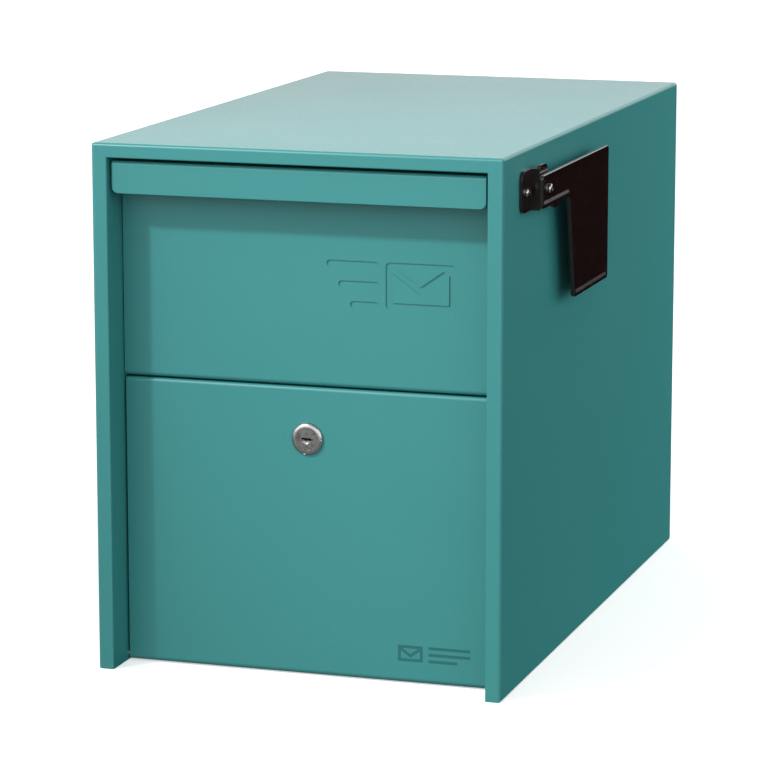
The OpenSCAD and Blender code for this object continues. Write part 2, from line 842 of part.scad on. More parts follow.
module cam_screw() {
    head_y = cam_y + cam_t + 0.05;
    color(plated) difference() {
        union() {
            rod_y(cam_screw_r, cam_y + cam_t - cam_screw_l + over, head_y + over, 0, lock_z);
            rod_y(cam_screw_head_r, head_y, head_y + cam_screw_head_h, 0, lock_z);
        }
        for (size = [[4.4, 1], [1, 4.4]])
            block([-size[0] / 2, head_y + cam_screw_head_h - over, lock_z - size[1] / 2],
                [size[0] / 2, head_y + cam_screw_head_h + over, lock_z + size[1] / 2]);
    }
}

// ---- Flag ----

// Leaf on the side wall, a web that steps out, and a pivot plate with an ear and a lower stop
ear_top = 17;                   // top of the ear above the pivot
stop_bottom = 16;              // bottom of the lower stop below the pivot

module flag_bracket() {
    leaf_x1 = half_w + bracket_t;
    web_y1 = flag_y - leaf_back;
    web_y0 = web_y1 - bracket_t;
    z0 = flag_z - bracket_h / 2 + 0.9;
    z1 = z0 + bracket_h;
    color(dark_plastic) difference() {
        union() {
            across_x(half_w, leaf_x1)
                round_rect(flag_y - leaf_front, z0, web_y1, z1, [6, 0, 0, 6]);
            block([half_w, web_y0, z0], [plate_x1, web_y1, z1]);
            across_x(plate_x0, plate_x1) {
                round_rect(web_y0, flag_z - 9, flag_y + 45, flag_z + 9, [0, 4, 4, 0]);
                round_rect(web_y0, flag_z - 9, flag_y + 7.5, flag_z + ear_top, [0, 4, 7, 4]);
                round_rect(flag_y + 20, flag_z - stop_bottom, flag_y + 41, flag_z,
                    [6, 6, 0, 0]);
            }
        }
        rod_x(screw_r + seat, half_w - over, leaf_x1 + over, flag_y - leaf_screw, flag_z);
        rod_x(screw_r + seat, plate_x0 - over, plate_x1 + over, flag_y, flag_z);
    }
}

// A pan head with a cross recess, its bearing face at x0
module pan_head(x0, y, z) {
    cross_w = 1;
    cross_l = 4;
    difference() {
        translate([x0, y, z]) rotate([0, 90, 0])
            cylinder(h = screw_head_h, r1 = screw_head_r, r2 = screw_head_r - 0.9);
        for (size = [[cross_l, cross_w], [cross_w, cross_l]])
            block([x0 + screw_head_h - 1, y - size[0] / 2, z - size[1] / 2],
                [x0 + screw_head_h + over, y + size[0] / 2, z + size[1] / 2]);
    }
}

nut_m4_af = 7;
nut_m4_t = 3;

module hex_nut_x(x0, y, z) {
    color(plated) difference() {
        translate([x0, y, z]) rotate([0, 90, 0])
            cylinder(h = nut_m4_t, r = nut_m4_af / 2 / cos(30), $fn = 6);
        rod_x(screw_r + seat / 2, x0 - over, x0 + nut_m4_t + over, y, z);
    }
}

module bracket_screw() {
    head_x = half_w + bracket_t;
    y = flag_y - leaf_screw;
    color(bright_steel) {
        pan_head(head_x, y, flag_z);
        rod_x(screw_r, half_w - sheet_t - nut_m4_t - 1.2, head_x + over / 2, y, flag_z);
    }
}

module bracket_nut() {
    hex_nut_x(half_w - sheet_t - nut_m4_t, flag_y - leaf_screw, flag_z);
}

// Shoulder screw: the flag turns on the shoulder, between the washer and the head
module pivot_screw() {
    panel_x = flag_x1 - flag_panel_depth;
    color(bright_steel) {
        pan_head(panel_x + seat, flag_y, flag_z);
        rod_x(shoulder_r, plate_x1, panel_x + seat + over / 2, flag_y, flag_z);
        rod_x(screw_r, plate_x0 - nut_m4_t - 0.8, plate_x1 + over / 2, flag_y, flag_z);
    }
}

module pivot_nut() { hex_nut_x(plate_x0 - nut_m4_t, flag_y, flag_z); }

module flag_washer() {
    color(bright_steel) difference() {
        rod_x(washer_r, plate_x1, plate_x1 + washer_t, flag_y, flag_z);
        rod_x(shoulder_r + seat, plate_x1 - over, plate_x1 + washer_t + over, flag_y, flag_z);
    }
}

module signal_flag() {
    inner = inset(flag_points, flag_rim_w);
    color(dark_plastic) difference() {
        translate([0, flag_y, flag_z]) across_x(flag_x0, flag_x1)
            polygon(rounded(flag_points, flag_corner_r, 6));
        translate([0, flag_y, flag_z]) across_x(flag_x1 - flag_panel_depth, flag_x1 + over)
            polygon(rounded(inner, flag_corner_r / 2, 4));
        rod_x(shoulder_r + shoulder_clear, flag_x0 - over, flag_x1 + over, flag_y, flag_z);
    }
}

casing_shell();
back_panel();
floor_pan();
mounting_plate();
plate_bolts();
plate_washers();
plate_nuts();
crossbar();
crossbar_rivets();
top_baffle();
door_bumpers();
hopper_bumpers();
hopper_hinge_rod();
door_hinge_rod();
rod_caps();
flag_bracket();
bracket_screw();
bracket_nut();
pivot_screw();
pivot_nut();
flag_washer();
hopper_door();
hopper_tray();
mail_clip();
lower_door();
stiffening_pan();
lock_housing();
lock_nut();
lock_plug();
lock_cam();
cam_screw();
signal_flag();
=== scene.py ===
import math

import bmesh
import bpy
from mathutils import Matrix, Vector


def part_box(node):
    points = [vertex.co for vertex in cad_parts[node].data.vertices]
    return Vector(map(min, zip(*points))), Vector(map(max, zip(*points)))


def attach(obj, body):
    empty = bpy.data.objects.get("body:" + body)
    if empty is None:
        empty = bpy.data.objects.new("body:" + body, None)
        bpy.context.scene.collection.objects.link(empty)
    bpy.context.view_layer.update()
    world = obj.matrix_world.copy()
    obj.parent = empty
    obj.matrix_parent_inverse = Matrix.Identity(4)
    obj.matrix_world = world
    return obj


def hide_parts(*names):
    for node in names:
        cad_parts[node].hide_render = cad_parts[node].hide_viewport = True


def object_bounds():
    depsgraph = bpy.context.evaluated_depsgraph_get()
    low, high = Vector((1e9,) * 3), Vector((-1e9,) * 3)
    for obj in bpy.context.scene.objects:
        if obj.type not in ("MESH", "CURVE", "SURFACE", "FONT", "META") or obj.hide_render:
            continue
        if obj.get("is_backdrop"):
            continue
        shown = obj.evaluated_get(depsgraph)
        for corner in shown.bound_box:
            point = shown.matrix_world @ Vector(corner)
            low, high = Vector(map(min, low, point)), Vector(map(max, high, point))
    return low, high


# A locking post box: a folded and powder-coated steel casing, a tip-out hopper over a locked
# lower door, a cam lock, and a moulded signal flag on the right side. Metres throughout.
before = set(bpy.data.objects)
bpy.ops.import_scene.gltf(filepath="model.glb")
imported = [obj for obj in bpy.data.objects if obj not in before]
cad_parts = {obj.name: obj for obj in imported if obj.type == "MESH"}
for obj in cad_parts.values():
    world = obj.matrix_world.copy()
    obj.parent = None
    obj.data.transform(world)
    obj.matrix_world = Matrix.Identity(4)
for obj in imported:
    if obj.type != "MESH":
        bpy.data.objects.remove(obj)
bpy.context.view_layer.update()
cad_low, cad_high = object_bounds()


# ---- Camera ----
# A long lens to the right of the box and a little above it, so that the front, the top and
# the flag's side are all seen.
camera = bpy.data.cameras.new("camera")
camera.sensor_width = 36
camera.lens = 165.4
camera.clip_end = 60
camera_object = bpy.data.objects.new("camera", camera)
bpy.context.collection.objects.link(camera_object)
camera_object.location = (0.755, -2.410, 0.649)
camera_object.rotation_euler = (math.radians(90 - 10.92), 0, math.radians(17.74))
scene = bpy.context.scene
scene.camera = camera_object
scene.view_settings.view_transform = "Standard"


# ---- Studio ----
# A white floor that runs out of sight, and that can be seen through from below. Soft white
# walls on every side but the rear right, a key light high on the left that falls off towards
# the floor, and a weak soft light on the right.
FLOOR_WHITE = (0.9, 0.9, 0.9, 1)
FLOOR_GLOW = 0.45
SKY_LOW = 1.68           # radiance of the soft walls near the horizon
SKY_HIGH = 0.25          # and overhead
GROUND = 0.12            # radiance from below, behind the box
GROUND_FRONT = 0.28      # and in front of it
REAR_BAND = 1.0          # how much of the wall is left in a band over the rear right horizon
REAR_RIGHT = 0.03        # share of the wall's light that is left behind on the right

floor_mesh = bpy.data.meshes.new("studio_floor")
floor_object = bpy.data.objects.new("studio_floor", floor_mesh)
bpy.context.collection.objects.link(floor_object)
bm = bmesh.new()
bmesh.ops.create_grid(bm, x_segments=1, y_segments=1, size=30)
bm.to_mesh(floor_mesh)
bm.free()
floor_paint = bpy.data.materials.new("studio_floor")
floor_paint.use_nodes = True
floor_shader = floor_paint.node_tree.nodes["Principled BSDF"]
floor_shader.inputs["Base Color"].default_value = FLOOR_WHITE
floor_shader.inputs["Roughness"].default_value = 0.9
floor_shader.inputs["Specular IOR Level"].default_value = 0.0
floor_shader.inputs["Emission Color"].default_value = (1, 1, 1, 1)
floor_shader.inputs["Emission Strength"].default_value = FLOOR_GLOW
nodes, links = floor_paint.node_tree.nodes, floor_paint.node_tree.links
one_sided = nodes.new("ShaderNodeMixShader")
links.new(nodes.new("ShaderNodeNewGeometry").outputs["Backfacing"], one_sided.inputs[0])
links.new(floor_shader.outputs[0], one_sided.inputs[1])
links.new(nodes.new("ShaderNodeBsdfTransparent").outputs[0], one_sided.inputs[2])
links.new(one_sided.outputs[0], nodes["Material Output"].inputs["Surface"])
floor_mesh.materials.append(floor_paint)
floor_object.visible_diffuse = False
floor_object.visible_glossy = False
floor_object.visible_shadow = False
floor_object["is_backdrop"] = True


class Socket:
    """A node socket, with the arithmetic that adds Math nodes to its tree."""

    def __init__(self, tree, value):
        self.tree, self.value = tree, value

    def math(self, operation, *others):
        node = self.tree.nodes.new("ShaderNodeMath")
        node.operation = operation
        for slot, value in zip(node.inputs, (self, *others)):
            join(self.tree, value, slot)
        return Socket(self.tree, node.outputs[0])

    def __add__(self, other):
        return self.math("ADD", other)

    def __mul__(self, other):
        return self.math("MULTIPLY", other)

    def __sub__(self, other):
        return self.math("SUBTRACT", other)

    def __rsub__(self, other):
        return (self * -1) + other

    def __pow__(self, other):
        return self.math("POWER", other)

    def __gt__(self, other):
        return self.math("GREATER_THAN", other)

    def __lt__(self, other):
        return self.math("LESS_THAN", other)

    def __abs__(self):
        return self.math("ABSOLUTE")

    __radd__ = __add__
    __rmul__ = __mul__


def join(tree, value, slot):
    """Links a socket to an input, or sets the input where the value is plain."""
    if isinstance(value, Socket):
        tree.links.new(value.value, slot)
    else:
        slot.default_value = value


def add_node(tree, kind, settings=None, out=0, **values):
    """Makes a node: its settings first, then its inputs by name or number."""
    node = tree.nodes.new(kind)
    for key, value in (settings or {}).items():
        setattr(node, key, value)
    for key, value in values.items():
        slot = node.inputs[int(key[1:]) if key[0] == "_" else key.replace("_", " ")]
        join(tree, value, slot)
    return Socket(tree, node.outputs[out])


def ease(tree, value, start, end, low=0.0, high=1.0):
    """Runs smoothly from low to high as a value goes from start to end."""
    return add_node(tree, "ShaderNodeMapRange", {"interpolation_type": "SMOOTHSTEP"},
                    _0=value, _1=start, _2=end, _3=low, _4=high)


sky = bpy.data.worlds.new("sky")
sky.use_nodes = True
tree = sky.node_tree
way = add_node(tree, "ShaderNodeSeparateXYZ",
               Vector=add_node(tree, "ShaderNodeTexCoord", out="Generated"))
way_x, way_y, way_z = (Socket(tree, way.value.node.outputs[k]) for k in range(3))
rear_right = ease(tree, way_x, -0.15, 0.08) * ease(tree, way_y, -0.2, 0.2)
band = ease(tree, way_z, 0.06, 0.16) * ease(tree, way_z, 0.45, 0.6, 1.0, 0.0)
rear_right = rear_right * (1 - band * REAR_BAND)
glow = ease(tree, way_z, -0.06, 0.04) * ease(tree, way_z, 0.25, 0.95, SKY_LOW, SKY_HIGH)
glow = glow + ease(tree, way_y, 0.1, -0.4, GROUND, GROUND_FRONT)
glow = glow * (1 - rear_right * (1 - REAR_RIGHT))
background = tree.nodes["Background"]
background.inputs["Color"].default_value = (1, 1, 1, 1)
tree.links.new(glow.value, background.inputs["Strength"])
scene.world = sky


def hang_light(name, kind, place, target, watts, **settings):
    """A light at a place, turned to face a target, that no camera sees."""
    light = bpy.data.lights.new(name, kind)
    light.energy = watts
    for key, value in settings.items():
        setattr(light, key, value)
    holder = bpy.data.objects.new(name, light)
    bpy.context.collection.objects.link(holder)
    holder.location = place
    holder.rotation_euler = (Vector(target) - Vector(place)).to_track_quat("-Z", "Y").to_euler()
    holder.visible_camera = False
    return holder


KEY_WATTS = 152
KEY_DISTANCE = 2.0
KEY_WAY = Vector((-0.92, -1.0, 1.2))
KEY_TARGET = (0.20, cad_low.y, 0.33)
SIDE_WATTS = 7.5
SIDE_PLACE = (1.0, 1.05, 0.35)
SIDE_TARGET = (cad_high.x, 0.3, 0.2)

face_top = Vector((0, cad_low.y, cad_high.z - 0.06))
key_place = face_top + KEY_WAY.normalized() * KEY_DISTANCE
hang_light("key_light", "SPOT", key_place, KEY_TARGET, KEY_WATTS,
           spot_size=math.radians(30), spot_blend=1.0, shadow_soft_size=0.08)
side_light = hang_light("side_light", "AREA", SIDE_PLACE, SIDE_TARGET, SIDE_WATTS, size=0.9)
side_light.visible_glossy = False


# ---- Casing ----
# The top and the two sides are folded from one sheet of mild steel, with a boxed pillar behind
# each front leg and a return under the top bar. It is powder coated in satin teal; the coat
# pulls back a little from every edge, so cut edges and folds are slightly round.
MM = 0.001
SHEET_EDGE = 0.45 * MM
TEAL = (0.031, 0.214, 0.213, 1)
TEAL_PALE = (0.034, 0.226, 0.224, 1)
TEAL_SPECK = (0.046, 0.262, 0.258, 1)


class Finish:
    """A material under way: its tree, its Principled shader and its ways to add a pattern."""

    def __init__(self, name, **constants):
        self.material = bpy.data.materials.new(name)
        self.material.use_nodes = True
        self.tree = self.material.node_tree
        self.shader = self.tree.nodes["Principled BSDF"]
        for key, value in constants.items():
            self.shader.inputs[key.replace("_", " ")].default_value = value
        self.place = self.node("ShaderNodeTexCoord", out="Object")

    def node(self, kind, settings=None, out=0, **values):
        return add_node(self.tree, kind, settings, out, **values)

    def noise(self, scale, detail=2.0, roughness=0.5, at=None):
        return self.node("ShaderNodeTexNoise", out="Fac", Vector=at or self.place, Scale=scale,
                         Detail=detail, Roughness=roughness)

    def stretch(self, x, y, z):
        return self.node("ShaderNodeMapping", Vector=self.place, Scale=(x, y, z))

    def mix(self, factor, first, second):
        return self.node("ShaderNodeMix", {"data_type": "RGBA"}, out=2, _0=factor,
                         _6=first, _7=second)

    def bump(self, height, strength, depth, under=None):
        more = {} if under is None else {"Normal": under}
        return self.node("ShaderNodeBump", Height=height, Strength=strength, Distance=depth,
                         **more)

    def axes(self):
        split = self.node("ShaderNodeSeparateXYZ", Vector=self.place)
        return [Socket(self.tree, split.value.node.outputs[k]) for k in range(3)]

    def feed(self, **links):
        for key, value in links.items():
            self.tree.links.new(value.value, self.shader.inputs[key.replace("_", " ")])
        return self.material


def powder_coat(name, paint_over=None):
    """Satin powder with fine orange peel, scattered pale grains and a faint cloudiness."""
    coat = Finish(name, IOR=1.5)
    peel = coat.noise(620, 2.0, 0.55)
    grain = coat.noise(2600, 1.0, 0.5)
    cloud = coat.noise(11, 3.0, 0.6)
    base = coat.mix(cloud, TEAL, TEAL_PALE)
    base = coat.mix((coat.noise(2100, 0.0, 0.5) > 0.66) * 0.4, base, TEAL_SPECK)
    if paint_over:
        base = paint_over(coat, base)
    gloss = 0.40 + 0.12 * (peel - 0.5) + 0.05 * (cloud - 0.5)
    relief = coat.bump(grain, 0.12, 0.05 * MM, coat.bump(peel, 0.22, 0.14 * MM))
    return coat.feed(Base_Color=base, Roughness=gloss, Normal=relief)


teal_coat = powder_coat("teal_powder_coat")


def put(name, shape, body, material, nodes=(), sharp=35):
    """Turns a bmesh into a piece that rides on a body and stands for its CAD nodes."""
    mesh = bpy.data.meshes.new(name)
    shape.to_mesh(mesh)
    shape.free()
    mesh.materials.append(material)
    mesh.shade_smooth()
    mesh.set_sharp_from_angle(angle=math.radians(sharp))
    piece = bpy.data.objects.new(name, mesh)
    bpy.context.collection.objects.link(piece)
    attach(piece, body)
    if nodes:
        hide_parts(*nodes)
    return piece


def softened(node, width, steps=2, corner=30, shortest=0.0):
    """A copy of a CAD node with its flat faces whole, and every sharp edge that is longer than
    the shortest rounded."""
    shape = bmesh.new()
    shape.from_mesh(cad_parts[node].data)
    bmesh.ops.remove_doubles(shape, verts=shape.verts, dist=1e-6)
    bmesh.ops.dissolve_limit(shape, angle_limit=math.radians(1), verts=shape.verts,
                             edges=shape.edges)
    bmesh.ops.dissolve_degenerate(shape, dist=1e-6, edges=shape.edges)
    keen = [edge for edge in shape.edges
            if edge.is_manifold and edge.calc_face_angle() > math.radians(corner)
            and edge.calc_length() > shortest]
    bmesh.ops.bevel(shape, geom=keen, offset=width, offset_type="OFFSET", segments=steps,
                    profile=0.5, affect="EDGES", clamp_overlap=True, material=-1)
    return shape


def even_shading(piece):
    """Lets the large faces set the shading, so that the narrow rounds don't tilt it."""
    piece.modifiers.new("even_shading", "WEIGHTED_NORMAL").keep_sharp = True


def sheet_piece(node, name, body, material=teal_coat, edge=SHEET_EDGE):
    """A coated sheet taken from its CAD node."""
    even_shading(put(name, softened(node, edge), body, material, [node]))


sheet_piece("casing_shell", "casing", "casing")


# ---- Back panel ----
# A shallow steel pan, its flanges turned outwards and welded inside the back edge of the
# casing. It has the casing's powder coat.
sheet_piece("back_panel", "back", "casing")


# ---- Floor ----
# A raised sheet floor with its edges turned down, spot-welded between the side walls. Four
# large holes give a socket access to the post bolts below. Same coat as the casing.
sheet_piece("floor_pan", "floor", "casing")


# ---- Mounting plate and its bolts ----
# A hat-shaped plate of 2.5 mm steel, bright zinc plated, that sits on the post. Four M6 bolts
# with washers and nuts, in the same plating, hold it up against the floor.
ZINC = (0.60, 0.61, 0.63, 1)
ZINC_WARM = (0.63, 0.61, 0.56, 1)
THREAD_PITCH = 1.0 * MM
M6_FLATS = 10 * MM
M6_SHANK_R = 3 * MM
M6_BORE_R = 3.1 * MM
M6_WASHER_R = 6.5 * MM
M6_WASHER_BORE_R = 3.3 * MM
WASHER_RIM = 0.2 * MM


def zinc_plate():
    """Bright zinc: a grey metal with a faint warm and cool bloom and fine rolling marks."""
    zinc = Finish("zinc_plating", Metallic=1.0)
    bloom = zinc.noise(60, 3.0, 0.6)
    marks = zinc.noise(1.0, 2.0, 0.6, zinc.stretch(60, 2200, 2200))
    base = zinc.mix(ease(zinc.tree, bloom, 0.35, 0.65), ZINC, ZINC_WARM)
    gloss = 0.30 + 0.16 * (bloom - 0.5) + 0.10 * (marks - 0.5)
    return zinc.feed(Base_Color=base, Roughness=gloss, Normal=zinc.bump(marks, 0.15, 0.03 * MM))


zinc = zinc_plate()


def turned(profile, start, along, steps=40, ring=False):
    """A lathe-turned shape: pairs of radius and height in metres, spun about a line."""
    shape = bmesh.new()
    verts = [shape.verts.new((radius, 0, height)) for radius, height in profile]
    pairs = list(zip(verts, verts[1:])) + ([(verts[-1], verts[0])] if ring else [])
    edges = [shape.edges.new(pair) for pair in pairs]
    bmesh.ops.spin(shape, geom=verts + edges, cent=(0, 0, 0), axis=(0, 0, 1),
                   angle=math.tau, steps=steps, use_merge=True)
    bmesh.ops.remove_doubles(shape, verts=shape.verts, dist=1e-7)
    bmesh.ops.dissolve_degenerate(shape, dist=1e-7, edges=shape.edges)
    bmesh.ops.recalc_face_normals(shape, faces=shape.faces)
    return moved(shape, start, along)


def moved(shape, start, along):
    """Turns a shape from the Z axis to another line and sets it down at a place."""
    spot = Matrix.Translation(start) @ Vector(along).to_track_quat("Z", "Y").to_matrix().to_4x4()
    bmesh.ops.transform(shape, matrix=spot, verts=shape.verts)
    return shape


def carved(shape, tool, operation="DIFFERENCE"):
    """One shape cut by another, or kept within it, by a Boolean applied at once."""
    parts = []
    for part in (shape, tool):
        mesh = bpy.data.meshes.new("carving")
        part.to_mesh(mesh)
        part.free()
        parts.append(bpy.data.objects.new("carving", mesh))
        bpy.context.collection.objects.link(parts[-1])
    cut = parts[0].modifiers.new("cut", "BOOLEAN")
    cut.operation = operation
    cut.object = parts[1]
    cut.solver = "EXACT"
    graph = bpy.context.evaluated_depsgraph_get()
    result = bmesh.new()
    result.from_mesh(parts[0].evaluated_get(graph).to_mesh())
    for part in parts:
        mesh = part.data
        bpy.data.objects.remove(part)
        bpy.data.meshes.remove(mesh)
    bmesh.ops.remove_doubles(result, verts=result.verts, dist=1e-7)
    return result


def joined(shapes):
    """Several shapes as one."""
    whole = bmesh.new()
    for shape in shapes:
        mesh = bpy.data.meshes.new("joining")
        shape.to_mesh(mesh)
        shape.free()
        whole.from_mesh(mesh)
        bpy.data.meshes.remove(mesh)
    return whole


def hexagon(across_flats, height, start, along, bore=0.0, both_ends=False):
    """A hexagon head or nut, its corners turned off by a chamfer, with a bore if it has one."""
    corner = across_flats / math.sqrt(3)
    flat = across_flats / 2
    wide = corner * 1.02
    narrow = flat * 0.97
    drop = (corner - flat) * 0.55
    prism = bmesh.new()
    bmesh.ops.create_cone(prism, cap_ends=True, segments=6, radius1=corner, radius2=corner,
                          depth=height, matrix=Matrix.Translation((0, 0, height / 2)))
    if both_ends:
        foot = [(0, 0), (narrow, 0), (wide, drop)]
    else:
        foot = [(0, -0.1 * MM), (wide, -0.1 * MM), (wide, 0)]
    dome = turned(foot + [(wide, height - drop), (narrow, height), (0, height)],
                  (0, 0, 0), (0, 0, 1), steps=48)
    shape = carved(prism, dome, "INTERSECT")
    if bore:
        rim = 0.25 * MM
        drill = turned([(0, -rim * 2), (bore + rim * 2, -rim * 2), (bore, rim),
                        (bore, height - rim), (bore + rim * 2, height + rim * 2),
                        (0, height + rim * 2)], (0, 0, 0), (0, 0, 1), steps=32)
        shape = carved(shape, drill)
    return moved(shape, start, along)


def threaded(radius, length, start, along, pitch=THREAD_PITCH, steps=24):
    """A screw shank: thread crests as close rings, and a chamfered end."""
    depth = pitch * 0.5
    profile = [(0, 0), (radius, 0)]
    count = int((length - pitch) / pitch)
    for k in range(count):
        profile += [(radius - depth, (k + 0.5) * pitch), (radius, (k + 1) * pitch)]
    profile += [(radius - depth * 1.3, length), (0, length)]
    return turned(profile, start, along, steps=steps)


plate = put("mounting_plate_zinc", softened("mounting_plate", 0.3 * MM, shortest=3 * MM),
            "casing", zinc, ["mounting_plate"])
even_shading(plate)


def washer(bore, radius, thick, rim, start, along, steps):
    """A flat ring, its four edges broken by the width of a rim."""
    return turned([(bore, rim), (bore + rim, 0), (radius - rim, 0), (radius, rim),
                   (radius, thick - rim), (radius - rim, thick), (bore + rim, thick),
                   (bore, thick - rim)], start, along, steps=steps, ring=True)


bolt_low, bolt_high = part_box("plate_bolts")
washer_low, washer_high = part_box("plate_washers")
nut_low, nut_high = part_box("plate_nuts")
head_z = washer_high.z
bolt_spots = [(x, y) for x in (washer_low.x + M6_WASHER_R, washer_high.x - M6_WASHER_R)
              for y in (washer_low.y + M6_WASHER_R, washer_high.y - M6_WASHER_R)]
bolts, washers, nuts = [], [], []
for x, y in bolt_spots:
    bolts.append(hexagon(M6_FLATS, bolt_high.z - head_z, (x, y, head_z), (0, 0, 1)))
    bolts.append(threaded(M6_SHANK_R, head_z - bolt_low.z, (x, y, head_z), (0, 0, -1)))
    washers.append(washer(M6_WASHER_BORE_R, M6_WASHER_R, head_z - washer_low.z, WASHER_RIM,
                          (x, y, washer_low.z), (0, 0, 1), steps=40))
    nuts.append(hexagon(M6_FLATS, nut_high.z - nut_low.z, (x, y, nut_low.z), (0, 0, 1),
                        bore=M6_BORE_R, both_ends=True))
put("plate_bolts_m6", joined(bolts), "casing", zinc, ["plate_bolts"])
put("plate_washers_m6", joined(washers), "casing", zinc, ["plate_washers"])
put("plate_nuts_m6", joined(nuts), "casing", zinc, ["plate_nuts"])


# ---- Crossbar and its rivets ----
# An angle of coated sheet behind the gap between the doors, with a tab at each end. Two solid
# rivets, zinc plated, fix each tab to its pillar; the lock's cam stands up behind the bar.
sheet_piece("crossbar", "crossbar_angle", "casing")

BAR_SHEET = 1.6 * MM
RIVET_SHANK_R = 2 * MM
RIVET_HEAD_R = 3.6 * MM
RIVET_HEAD_H = 1.3 * MM
rivet_low, rivet_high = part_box("crossbar_rivets")
rivet_y = (rivet_low.y + rivet_high.y) / 2
rivet_end = rivet_high.x
rivet_l = rivet_end - (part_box("crossbar")[1].x - BAR_SHEET - RIVET_HEAD_H)
dome = [(0, 0), (1.9 * MM, 0.12 * MM), (3.0 * MM, 0.55 * MM), (RIVET_HEAD_R, RIVET_HEAD_H)]
shank = [(RIVET_SHANK_R, RIVET_HEAD_H), (RIVET_SHANK_R, rivet_l - RIVET_HEAD_H)]
back = [(radius, rivet_l - height) for radius, height in reversed(dome)]
rivets = [turned(dome + shank + back, (side * rivet_end, rivet_y, z), (-side, 0, 0), steps=28)
          for side in (-1, 1)
          for z in (rivet_low.z + RIVET_HEAD_R, rivet_high.z - RIVET_HEAD_R)]
put("crossbar_rivets_solid", joined(rivets), "casing", zinc, ["crossbar_rivets"])


# ---- Top baffle ----
# A channel of coated sheet that hangs from the top just outside the tray's swing, so that
# nobody can reach over the open hopper. It is spot-welded to the top.
sheet_piece("top_baffle", "baffle", "casing")


# ---- Rubber bumpers ----
# Four black rubber buffers pushed into holes: two that the lower door closes against and two
# under the hopper's tray. Each is a moulded button with a rounded tip and a groove at its foot.
RUBBER = (0.018, 0.018, 0.019, 1)
RUBBER_DUST = (0.040, 0.040, 0.041, 1)


def black_rubber():
    """Matt rubber with a dusty bloom and a fine moulded grain."""
    rubber = Finish("black_rubber", IOR=1.52)
    dust = rubber.noise(240, 4.0, 0.6)
    grain = rubber.noise(2400, 2.0, 0.5)
    base = rubber.mix(ease(rubber.tree, dust, 0.45, 0.75), RUBBER, RUBBER_DUST)
    return rubber.feed(Base_Color=base, Roughness=0.62 + 0.2 * (dust - 0.5),
                       Normal=rubber.bump(grain, 0.25, 0.05 * MM))


rubber = black_rubber()


def bumper(radius, length, start, along):
    """A rubber button from its foot to its tip."""
    groove = 0.7 * MM
    tip = 1.4 * MM
    return turned([(0, 0), (radius - 0.3 * MM, 0), (radius, 0.3 * MM), (radius, 1.2 * MM),
                   (radius - groove, 1.7 * MM), (radius - groove, 2.3 * MM),
                   (radius - 0.1 * MM, 2.9 * MM), (radius - 0.35 * MM, length - tip),
                   (radius - 0.6 * MM, length - tip * 0.55),
                   (radius - 1.2 * MM, length - tip * 0.2), (radius - 2.0 * MM, length),
                   (0, length)], start, along, steps=32)


def bumper_pair(node, name, radius, length, foot, along):
    """A bumper at its foot on the right, and its mirror image on the left."""
    pair = [bumper(radius, length, (side * foot[0], foot[1], foot[2]), along)
            for side in (-1, 1)]
    put(name, joined(pair), "casing", rubber, [node])


low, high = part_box("door_bumpers")
radius = (high.z - low.z) / 2
bumper_pair("door_bumpers", "door_buffers", radius, high.y - low.y,
            (high.x - radius, high.y, (low.z + high.z) / 2), (0, -1, 0))
low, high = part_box("hopper_bumpers")
radius = (high.y - low.y) / 2
bumper_pair("hopper_bumpers", "hopper_buffers", radius, high.z - low.z,
            (high.x - radius, (low.y + high.y) / 2, low.z), (0, 0, 1))


# ---- Hinge rods and caps ----
# Plain round steel rods run through the doors' rolled hems from pillar to pillar, one for the
# hopper and one for the lower door. A zinc-plated push-on cap grips each end.
CAP_R = 3.2 * MM
CAP_T = 2.0 * MM
rod_places = []
for node, name in (("hopper_hinge_rod", "hopper_rod"), ("door_hinge_rod", "door_rod")):
    low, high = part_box(node)
    radius = (high.z - low.z) / 2
    axis = Vector((low.x, (low.y + high.y) / 2, (low.z + high.z) / 2))
    span = high.x - low.x
    nose = radius * 0.35
    rod = turned([(0, 0), (radius - nose, 0), (radius, nose), (radius, span - nose),
                  (radius - nose, span), (0, span)], axis, (1, 0, 0), steps=32)
    put(name, rod, "casing", zinc, [node])
    rod_places.append((radius, axis))

cap_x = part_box("rod_caps")[1].x - CAP_T
caps = []
for radius, axis in rod_places:
    bore = radius + 0.05 * MM
    ring = [(bore, 0.5 * MM), (bore + 0.5 * MM, 0), (CAP_R - 0.2 * MM, 0), (CAP_R, 0.2 * MM),
            (CAP_R, 0.8 * MM), (CAP_R - 0.5 * MM, 1.5 * MM), (bore + 0.6 * MM, CAP_T),
            (bore, CAP_T - 0.2 * MM)]
    for side in (-1, 1):
        caps.append(turned(ring, (side * cap_x, axis.y, axis.z), (side, 0, 0), steps=28,
                           ring=True))
put("rod_push_caps", joined(caps), "casing", zinc, ["rod_caps"])


# ---- Hopper door and tray ----
# The upper door is one sheet: a hem rolled round the hinge rod, a flat panel with a letter
# pictogram pressed into it, and a lip folded forward along the top to pull it by. A sloping
# tray with two cheeks is welded behind it.
sheet_piece("hopper_door", "hopper_front", "hopper", edge=0.5 * MM)
sheet_piece("hopper_tray", "tray", "hopper", edge=0.35 * MM)


# ---- Letter clip ----
# A strip of thin spring steel, bowed and welded by its foot inside the hopper, which holds
# outgoing letters against the door.
SPRING = (0.42, 0.42, 0.44, 1)
SPRING_BLUE = (0.33, 0.35, 0.41, 1)


